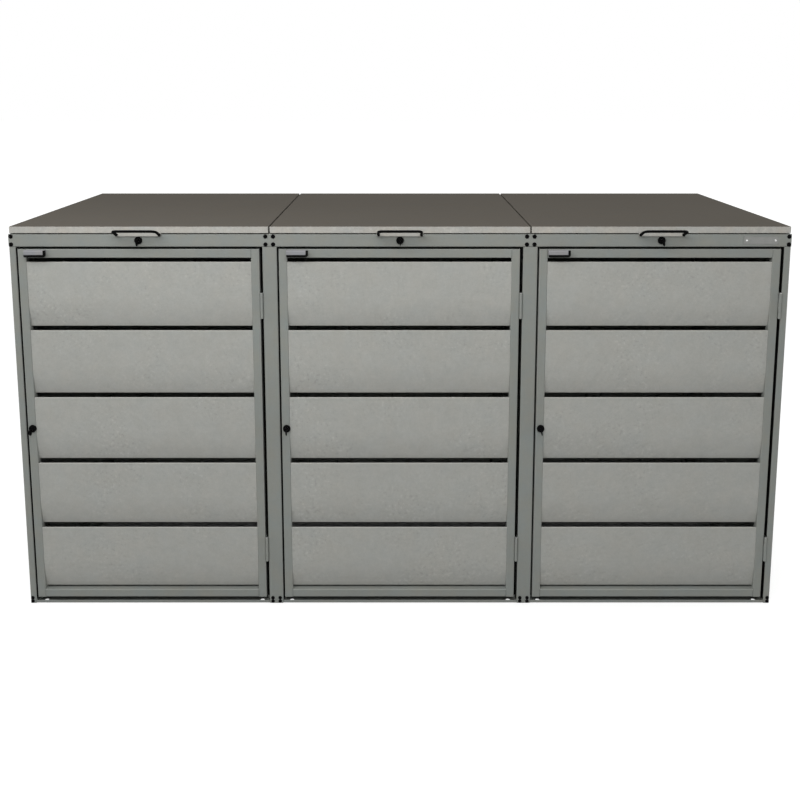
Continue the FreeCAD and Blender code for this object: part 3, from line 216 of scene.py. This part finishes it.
def powder_coat(name, colour, roughness=0.5, specular=0.3, mottle=0.06, cloud=0.05, tint=0.03, edge_wear_and_highlight=0.35,
                specks=0.0):
    """Powder coat on sheet steel: mottling, faint clouds and tints, paler edges that are partly rubbed and
    partly a painted highlight, and orange peel.
    """
    g = Graph(name)
    grain = g.around_one(g.noise(scale=26.0, detail=4.0, rough=1.0), mottle)
    flecks = g.around_one(g.noise(scale=1500.0, detail=2.0, rough=0.6), mottle)
    clouds = g.around_one(g.noise(scale=2.2, detail=3.0, rough=0.6), cloud)
    tone = g.math("MULTIPLY", g.math("MULTIPLY", grain, flecks), clouds)
    if specks:
        tone = g.math("MULTIPLY", tone, speck_tone(g, specks))
    base = g.shade(drifting_tint(g, colour, tint), tone)
    # The edges' pale colour: partly rubbed paint, partly a painted highlight.
    pale = tuple(min(1.0, channel * pale_edge_gain + pale_edge_lift) for channel in colour)
    g.paint(g.mix(worn_and_highlit_edges(g, edge_wear_and_highlight), base, pale))
    g.roughen(g.noise(scale=9.0, detail=4.0, rough=0.6), roughness, under=0.06, over=0.08)
    g.bump(g.noise(scale=1100.0, detail=2.0, rough=0.6), strength=0.22, distance=0.0004, radius=0.0012)
    g.shader.inputs["Specular IOR Level"].default_value = specular
    return g.material


# Black finishes and bare metals

black = (0.003, 0.003, 0.0033)
rubber_black = (0.005, 0.005, 0.005)
black_specular = 0.02
dust_colour = (0.16, 0.155, 0.145)
dust_amount = 0.012
relief_finer_by = 1.3


def black_finish(name, colour, roughness, grain_scale, bump):
    """Dark plastic, rubber or enamel with fine grain and a little dust."""
    g = Graph(name)
    base = g.shade(colour, g.ramp(g.noise(grain_scale), low=0.75, high=1.35))
    dusty = g.ramp(g.noise(scale=40.0, detail=4.0, rough=0.6), low=0.0, high=dust_amount,
                   start=0.45, end=0.75)
    g.paint(g.mix(dusty, base, dust_colour))
    g.roughen(g.noise(scale=60.0), roughness, under=0.08, over=0.1)
    relief = g.noise(grain_scale * relief_finer_by, detail=2.0, rough=0.5)
    g.bump(relief, strength=bump, distance=0.0003, radius=0.0006)
    g.shader.inputs["Specular IOR Level"].default_value = black_specular
    return g.material


def brushed_metal(name, colour, roughness, direction):
    """Bare metal with fine lines; they run across the axes that direction scales up most."""
    g = Graph(name)
    lines = g.noise(scale=1.0, detail=2.0, rough=0.5, stretch=direction)
    clouds = g.around_one(g.noise(scale=30.0), 0.07)
    tone = g.math("MULTIPLY", g.ramp(lines, low=0.86, high=1.12), clouds)
    g.paint(g.shade(colour, tone))
    g.roughen(lines, roughness, under=0.08, over=0.1)
    g.bump(lines, strength=0.12, distance=0.0002, radius=0.0005)
    g.shader.inputs["Metallic"].default_value = 1.0
    return g.material


# The finish of each material slot, and those of the lid lips (a painted highlight), the pulls and the
# welds

# The lids' front lips are of the lid's own sheet; their paler copy of its paint is a painted highlight on
# the front.
lit_lip_paint = powder_coat("lid_lip_highlight_coat", (0.43, 0.42, 0.385), mottle=0.10, edge_wear_and_highlight=0.4, specks=0.12)
pull_paint = powder_coat("pull_powder_coat", (0.272, 0.272, 0.281), mottle=0.03, edge_wear_and_highlight=0.4)
weld_paint = powder_coat("weld_powder_coat", (0.15, 0.156, 0.146), roughness=0.6, mottle=0.10)
black_paint = black_finish("black_steel", black, roughness=0.65, grain_scale=1500.0, bump=0.15)
black_plastic = black_finish("black_lock_shell", black, roughness=0.55, grain_scale=900.0, bump=0.10)
black_rubber = black_finish("black_rubber", rubber_black, roughness=0.75, grain_scale=700.0, bump=0.35)
finishes = {
    "frame_paint": powder_coat("frame_powder_coat", (0.250, 0.262, 0.243), mottle=0.03, edge_wear_and_highlight=0.45),
    "panel_paint": powder_coat("panel_powder_coat", (0.250, 0.260, 0.243), roughness=0.52, mottle=0.05,
                               cloud=0.07),
    "louvre_paint": powder_coat("louvre_powder_coat", (0.385, 0.388, 0.362), mottle=0.07, cloud=0.015,
                                tint=0.012, edge_wear_and_highlight=0.55, specks=0.12),
    # The lids' darker paint is painted shade on their tops; the lips take a paler copy of it as a painted
    # highlight.
    "lid_paint": powder_coat("lid_powder_coat", (0.129, 0.118, 0.102), roughness=0.62, specular=0.0,
                             mottle=0.012, cloud=0.015, tint=0.01, edge_wear_and_highlight=0.5),
    "black_metal": black_paint,
    "black_plastic": black_plastic,
    "black_rubber": black_rubber,
    "bright_steel": brushed_metal("zinc_plated_steel", (0.52, 0.52, 0.51), roughness=0.36,
                                  direction=(40.0, 40.0, 1800.0)),
    "plate_metal": brushed_metal("plate_aluminium", (0.225, 0.228, 0.218), roughness=0.42,
                                 direction=(1500.0, 40.0, 1500.0)),
}
for part in frame["record"]["subparts"]:
    mesh = nodes[part["node"]].data
    mesh.materials.clear()
    mesh.materials.append(finishes[part["material_slot"]])
    for polygon in mesh.polygons:
        polygon.material_index = 0


# Two finishes on one node: paler front lips on the lids as a painted highlight, black lock plugs and keys
# where they show

lip_depth = 0.002
lip_fold = 0.001
plug_face_depth = 0.004


def second_finish(node, material, chosen):
    """Gives another material to the faces whose centres are chosen."""
    mesh = nodes[node].data
    mesh.materials.append(material)
    for polygon in mesh.polygons:
        if chosen(polygon.center):
            polygon.material_index = 1


for bay in bays:
    lip_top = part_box(f"{bay}_lid_panel")[1].z - lip_fold
    second_finish(f"{bay}_lid_panel", lit_lip_paint,
                  lambda place: place.y < front + lip_depth and place.z < lip_top)
    for end in ("door", "lid"):
        second_finish(f"{bay}_{end}_key", black_plastic, lambda place: place.y < front)
        second_finish(f"{bay}_{end}_lock_cam", black_plastic,
                      lambda place: place.y < front - plug_face_depth)
    nodes[f"{bay}_door_pull"].data.materials[0] = pull_paint


# Meshes

same_point = 1e-6


def new_piece(name, shape, material, body="cabinet"):
    bmesh.ops.recalc_face_normals(shape, faces=shape.faces)
    mesh = bpy.data.meshes.new(name)
    shape.to_mesh(mesh)
    shape.free()
    mesh.materials.append(material)
    piece = bpy.data.objects.new(name, mesh)
    bpy.context.scene.collection.objects.link(piece)
    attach(piece, body)
    return piece


def separate_boxes(node):
    """The two corners of each separate solid in a node, from left to right."""
    shape = bmesh.new()
    shape.from_mesh(nodes[node].data)
    bmesh.ops.remove_doubles(shape, verts=shape.verts, dist=same_point)
    waiting = set(shape.verts)
    boxes = []
    while waiting:
        reached = [waiting.pop()]
        low = reached[0].co.copy()
        high = low.copy()
        while reached:
            vert = reached.pop()
            low = Vector(map(min, low, vert.co))
            high = Vector(map(max, high, vert.co))
            for edge in vert.link_edges:
                other = edge.other_vert(vert)
                if other in waiting:
                    waiting.remove(other)
                    reached.append(other)
        boxes.append((low, high))
    shape.free()
    return sorted(boxes, key=lambda box: tuple(box[0]))


# Frame bolts: a domed head with a hexagon socket, a chamfered nut and the end of the thread

bolt_sides = 36
dome_steps = 7
head_rim = 0.001
socket_flats = 0.004
socket_depth = 0.0022
socket_edge = 0.0003
shank_radius = 0.0025
nut_flats = 0.008
nut_thickness = 0.004
nut_chamfer = 0.0006
bolt_tail = 0.002
thread_pitch = 0.0008
thread_depth = 0.0003
rings_per_turn = 6


def circle(radius):
    return lambda angle: radius


def hexagon(flats):
    sixth = math.pi / 3
    return lambda angle: flats / 2 / math.cos(angle % sixth - sixth / 2)


def thread(along):
    turned = 2 * math.pi * along / thread_pitch
    return lambda angle: shank_radius - thread_depth * (0.5 - 0.5 * math.cos(turned - angle))


def lathe(shape, centre, rings):
    """Skins rings round an axis along y and closes both ends.

    A ring is its reach, by angle, and its distance behind the centre.
    """
    skins = []
    for reach, behind in rings:
        ring = []
        for i in range(bolt_sides):
            angle = 2 * math.pi * i / bolt_sides
            radius = reach(angle)
            place = centre + Vector((radius * math.cos(angle), behind, radius * math.sin(angle)))
            ring.append(shape.verts.new(place))
        skins.append(ring)
    for near, far in zip(skins, skins[1:]):
        for i in range(bolt_sides):
            j = (i + 1) % bolt_sides
            shape.faces.new((near[i], near[j], far[j], far[i])).smooth = True
    shape.faces.new(skins[0])
    shape.faces.new(skins[-1])


def bolt(shape, low, high):
    """A bolt that fills the box of the CAD one, from its head at low.y to its thread's end at high.y."""
    centre = Vector(((low.x + high.x) / 2, front, (low.z + high.z) / 2))
    head_height = front - low.y
    head_radius = (high.x - low.x) / 2
    nut_front = high.y - bolt_tail - nut_thickness - front
    nut_back = nut_front + nut_thickness
    dome = head_height - head_rim
    crown = (head_radius ** 2 + dome ** 2) / (2 * dome)
    mouth = socket_flats / math.sqrt(3) + socket_edge
    first = math.asin(mouth / crown)
    last = math.asin(head_radius / crown)
    rings = [(hexagon(socket_flats - socket_edge), socket_depth - head_height),
             (hexagon(socket_flats), socket_depth - head_height - socket_edge),
             (hexagon(socket_flats), socket_edge - head_height)]
    for i in range(dome_steps + 1):
        angle = first + (last - first) * i / dome_steps
        rings.append((circle(crown * math.sin(angle)), crown * (1 - math.cos(angle)) - head_height))
    rings += [(circle(head_radius), 0.0), (circle(shank_radius), 0.0), (circle(shank_radius), nut_front),
              (circle(nut_flats / 2), nut_front), (hexagon(nut_flats), nut_front + nut_chamfer),
              (hexagon(nut_flats), nut_back - nut_chamfer), (circle(nut_flats / 2), nut_back)]
    turns = bolt_tail / thread_pitch
    steps = round(turns * rings_per_turn)
    rings += [(thread(bolt_tail * i / steps), nut_back + bolt_tail * i / steps) for i in range(steps + 1)]
    lathe(shape, centre, rings)


for node in ("top_rail_bolts", "foot_bolts"):
    bolts = bmesh.new()
    for low, high in separate_boxes(node):
        bolt(bolts, low, high)
    piece = new_piece(f"{node}_with_sockets", bolts, black_paint)
    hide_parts(node)


# Domed rivet heads over the ones of the bare plate

rivet_radius = 0.0034
rivet_height = 0.0016
rivet_inset = 0.0095
rivet_rise = 0.0008
rivet_steps = 6


def rivet_dome(shape, centre):
    crown = (rivet_radius ** 2 + rivet_height ** 2) / (2 * rivet_height)
    widest = math.asin(rivet_radius / crown)
    rings = []
    for i in range(1, rivet_steps + 1):
        angle = widest * i / rivet_steps
        rings.append((circle(crown * math.sin(angle)), crown * (1 - math.cos(angle)) - rivet_height))
    lathe(shape, centre, rings)


plate_low, plate_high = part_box("name_plate")
rivet_z = (plate_low.z + plate_high.z) / 2
rivets = bmesh.new()
for x in (plate_low.x + rivet_inset, plate_high.x - rivet_inset):
    rivet_dome(rivets, Vector((x, plate_low.y + rivet_rise, rivet_z)))
new_piece("plate_rivet_heads", rivets, finishes["bright_steel"])


# Strips with a rounded face: black rubber strips behind, beside and on top of the doors, put in as painted
# shade to keep the gaps dark, and welds where rails meet stiles

strip_steps = 8
strip_side = 0.25
stop_lip = 0.010
lip_shade_strip_width = 0.0096
lip_shade_strip_height = 0.0018
lip_shade_strip_back = front + 0.0280
gap_shade_strip_start = front + 0.0025
gap_shade_strip_width = 0.020
gap_shade_strip_height = 0.0014
shade_strip_foot = 0.012
shade_strip_top = rail_foot - 0.002
leaf_margin = 0.001
weld_width = 0.0012
weld_height = 0.0006
weld_back = front + 0.0003
door_top_rail_height = 0.027
door_bottom_rail_height = 0.025
tube_corner = 0.0025
hinge_leaves = separate_boxes("door_hinge_fixed_leaves")


def strip(shape, place, width, height, start, end):
    """A strip whose sides take up strip_side of its height and whose face is rounded.

    place turns the distances across, out from the carrying face and along into a point.
    """
    profile = [(0.0, 0.0)]
    for i in range(strip_steps + 1):
        angle = math.pi * i / strip_steps
        across = width / 2 * (1 - math.cos(angle))
        profile.append((across, height * (strip_side + (1 - strip_side) * math.sin(angle))))
    profile.append((width, 0.0))
    near, far = [[shape.verts.new(place(across, out, along)) for across, out in profile]
                 for along in (start, end)]
    for i in range(len(profile)):
        j = (i + 1) % len(profile)
        shape.faces.new((near[i], near[j], far[j], far[i]))
    shape.faces.new(near)
    shape.faces.new(far)


def facing_front(x0, back_face):
    return lambda across, out, along: (x0 + across, back_face - out, along)


def facing_side(x0, way):
    return lambda across, out, along: (x0 + way * out, gap_shade_strip_start + across, along)


def facing_up(z0):
    return lambda across, out, along: (along, gap_shade_strip_start + across, z0 + out)


def between_leaves(x0):
    """The spans of height on a post's face at x0 that no fixed hinge leaf takes up."""
    edges = [shade_strip_foot]
    for low, high in sorted(hinge_leaves, key=lambda leaf: leaf[0].z):
        if abs(high.x - x0) < leaf_margin:
            edges += [low.z - leaf_margin, high.z + leaf_margin]
    edges.append(shade_strip_top)
    return list(zip(edges[::2], edges[1::2]))


def lip_shade_strip(bay, side, x0):
    """A black rubber strip on the front of a stop lip, behind the door's edge: painted shade in the gap.
    """
    shade_strip_shape = bmesh.new()
    strip(shade_strip_shape, facing_front(x0, lip_shade_strip_back), lip_shade_strip_width, lip_shade_strip_height, shade_strip_foot, shade_strip_top)
    new_piece(f"{bay}_{side}_side_shade_strip", shade_strip_shape, black_rubber)


def gap_shade_strips(bay, lock_face, hinge_face):
    """Black rubber strips on the posts' faces in the gaps beside the door, clear of the hinge leaves:
    painted shade in the gaps.
    """
    shade_strip_shapes = bmesh.new()
    strip(shade_strip_shapes, facing_side(lock_face, 1), gap_shade_strip_width, gap_shade_strip_height, shade_strip_foot, shade_strip_top)
    for z0, z1 in between_leaves(hinge_face):
        strip(shade_strip_shapes, facing_side(hinge_face, -1), gap_shade_strip_width, gap_shade_strip_height, z0, z1)
    new_piece(f"{bay}_post_gap_shade_strips", shade_strip_shapes, black_rubber)


def door_top_shade_strip(bay):
    """A black rubber strip on top of the door, from one outer corner of its frame to the other: painted
    shade in the gap above it.
    """
    door_low, door_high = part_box(f"{bay}_door_frame")
    louvres_low, louvres_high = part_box(f"{bay}_door_louvres")
    stile_width = louvres_low.x - door_low.x
    start = door_low.x + tube_corner
    end = louvres_high.x + stile_width - tube_corner
    shade_strip_shape = bmesh.new()
    strip(shade_strip_shape, facing_up(door_high.z), gap_shade_strip_width, gap_shade_strip_height, start, end)
    new_piece(f"{bay}_door_top_shade_strip", shade_strip_shape, black_rubber, f"{bay}_door")


def door_welds(bay):
    """A weld on the front of each joint of a rail and a stile."""
    door_low, door_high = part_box(f"{bay}_door_frame")
    louvres_low, louvres_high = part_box(f"{bay}_door_louvres")
    rails = ((door_low.z, door_low.z + door_bottom_rail_height),
             (door_high.z - door_top_rail_height, door_high.z))
    welds = bmesh.new()
    for joint in (louvres_low.x, louvres_high.x):
        place = facing_front(joint - weld_width / 2, weld_back)
        for z0, z1 in rails:
            strip(welds, place, weld_width, weld_height, z0 + tube_corner, z1 - tube_corner)
    new_piece(f"{bay}_door_welds", welds, weld_paint, f"{bay}_door")


for bay, lock_post, hinge_post in zip(bays, front_posts, front_posts[1:]):
    lock_lip_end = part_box(lock_post)[1].x
    hinge_lip_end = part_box(hinge_post)[0].x
    lip_shade_strip(bay, "lock", lock_lip_end - lip_shade_strip_width)
    lip_shade_strip(bay, "hinge", hinge_lip_end)
    gap_shade_strips(bay, lock_lip_end - stop_lip, hinge_lip_end + stop_lip)
    door_top_shade_strip(bay)
    door_welds(bay)


# Floor

floor_reach = 40.0
floor_drop = 0.0006
floor_colour = (0.42, 0.42, 0.418)
floor_dimmest = 0.985
floor_roughness = 0.9
floor_specular = 0.05
glow_near = 0.70
glow_far = 0.94
glow_near_radius = 1.6
glow_far_radius = 6.0
shade_inset = 0.010
shade_start = front + 0.033
white = (1.0, 1.0, 1.0, 1.0)


def floor_material(name, glowing):
    """Pale floor. Where it glows, a camera sees it near white with the object's shadow left in."""
    g = Graph(name)
    tone = g.ramp(g.noise(scale=2.5, detail=3.0, rough=0.5), low=floor_dimmest, high=1.0)
    g.paint(g.shade(floor_colour, tone))
    g.shader.inputs["Roughness"].default_value = floor_roughness
    g.shader.inputs["Specular IOR Level"].default_value = floor_specular
    if glowing:
        away = g.add("ShaderNodeVectorMath", operation="LENGTH")
        g.link(g.place, away.inputs[0])
        level = g.ramp(away.outputs["Value"], glow_near, glow_far, glow_near_radius, glow_far_radius)
        g.link(g.math("MULTIPLY", g.seen_directly(), level), g.shader.inputs["Emission Strength"])
        g.shader.inputs["Emission Color"].default_value = white
    return g.material


def make_floor():
    """A sheet in nine fields; the middle one lies in the store's own shade and doesn't glow."""
    shape = bmesh.new()
    xs = (-floor_reach, shade_inset - half_width, half_width - shade_inset, floor_reach)
    ys = (-floor_reach, shade_start, back - shade_inset, floor_reach)
    corners = [[shape.verts.new((x, y, 0.0)) for x in xs] for y in ys]
    for row in range(len(ys) - 1):
        for column in range(len(xs) - 1):
            near, far = corners[row], corners[row + 1]
            field = shape.faces.new((near[column], near[column + 1], far[column + 1], far[column]))
            field.material_index = int(row == 1 and column == 1)
    mesh = bpy.data.meshes.new("studio_floor")
    shape.to_mesh(mesh)
    shape.free()
    mesh.materials.append(floor_material("pale_floor", True))
    mesh.materials.append(floor_material("pale_floor_in_shade", False))
    floor = bpy.data.objects.new("studio_floor", mesh)
    bpy.context.scene.collection.objects.link(floor)
    floor.location.z = -floor_drop


# World and lamps

sky_low = 0.46
sky_high = 0.26


def make_world():
    """White where it is seen directly; as a light it is soft and dimmer overhead."""
    world = bpy.data.worlds.new("studio_world")
    bpy.context.scene.world = world
    world.use_nodes = True
    tree = world.node_tree
    links = tree.links
    background = tree.nodes["Background"]
    background.inputs["Color"].default_value = white
    place = tree.nodes.new("ShaderNodeTexCoord")
    parts = tree.nodes.new("ShaderNodeSeparateXYZ")
    links.new(place.outputs["Generated"], parts.inputs["Vector"])
    dimmer = tree.nodes.new("ShaderNodeMapRange")
    dimmer.inputs["To Min"].default_value = sky_low
    dimmer.inputs["To Max"].default_value = sky_high
    links.new(parts.outputs["Z"], dimmer.inputs["Value"])
    rays = tree.nodes.new("ShaderNodeLightPath")
    seen = rays.outputs["Is Camera Ray"]
    for output in ("Is Glossy Ray", "Is Transmission Ray"):
        either = tree.nodes.new("ShaderNodeMath")
        either.operation = "MAXIMUM"
        links.new(seen, either.inputs[0])
        links.new(rays.outputs[output], either.inputs[1])
        seen = either.outputs[0]
    level = tree.nodes.new("ShaderNodeMapRange")
    level.inputs["To Max"].default_value = 1.0
    links.new(seen, level.inputs["Value"])
    links.new(dimmer.outputs["Result"], level.inputs["To Min"])
    links.new(level.outputs["Result"], background.inputs["Strength"])


def area_light(name, place, target, width, height, power):
    data = bpy.data.lights.new(name, "AREA")
    data.shape = "RECTANGLE"
    data.size = width
    data.size_y = height
    data.energy = power
    lamp = bpy.data.objects.new(name, data)
    bpy.context.scene.collection.objects.link(lamp)
    lamp.location = place
    lamp.rotation_mode = "QUATERNION"
    lamp.rotation_quaternion = (Vector(target) - Vector(place)).to_track_quat("-Z", "Y")


# Camera

image_width = 800.0
focal_pixels = 900.0
camera_distance = 2.65
camera_height = 1.615
camera_pitch = 8.1
camera_shift = -0.23


def make_camera():
    data = bpy.data.cameras.new("photo_camera")
    data.lens = focal_pixels / image_width * data.sensor_width
    data.shift_y = camera_shift
    camera = bpy.data.objects.new("photo_camera", data)
    bpy.context.scene.collection.objects.link(camera)
    camera.location = (0.0, front - camera_distance, camera_height)
    camera.rotation_euler = (math.radians(90.0 - camera_pitch), 0.0, 0.0)
    bpy.context.scene.camera = camera


make_floor()
make_world()
area_light("key_light", place=(-0.5, front - 1.8, 2.65), target=(0.0, front, 0.65),
           width=3.4, height=1.0, power=58.0)
area_light("left_light", place=(-3.2, front + 0.1, 1.7), target=(-1.2, front + 0.4, 0.6),
           width=1.6, height=1.6, power=28.0)
area_light("right_light", place=(3.2, front + 0.1, 1.7), target=(1.2, front + 0.4, 0.6),
           width=1.6, height=1.6, power=26.0)
area_light("back_light", place=(0.4, back + 2.2, 1.9), target=(0.0, back, 0.6),
           width=3.0, height=1.2, power=42.0)
make_camera()

bpy.context.scene.view_settings.view_transform = "Standard"
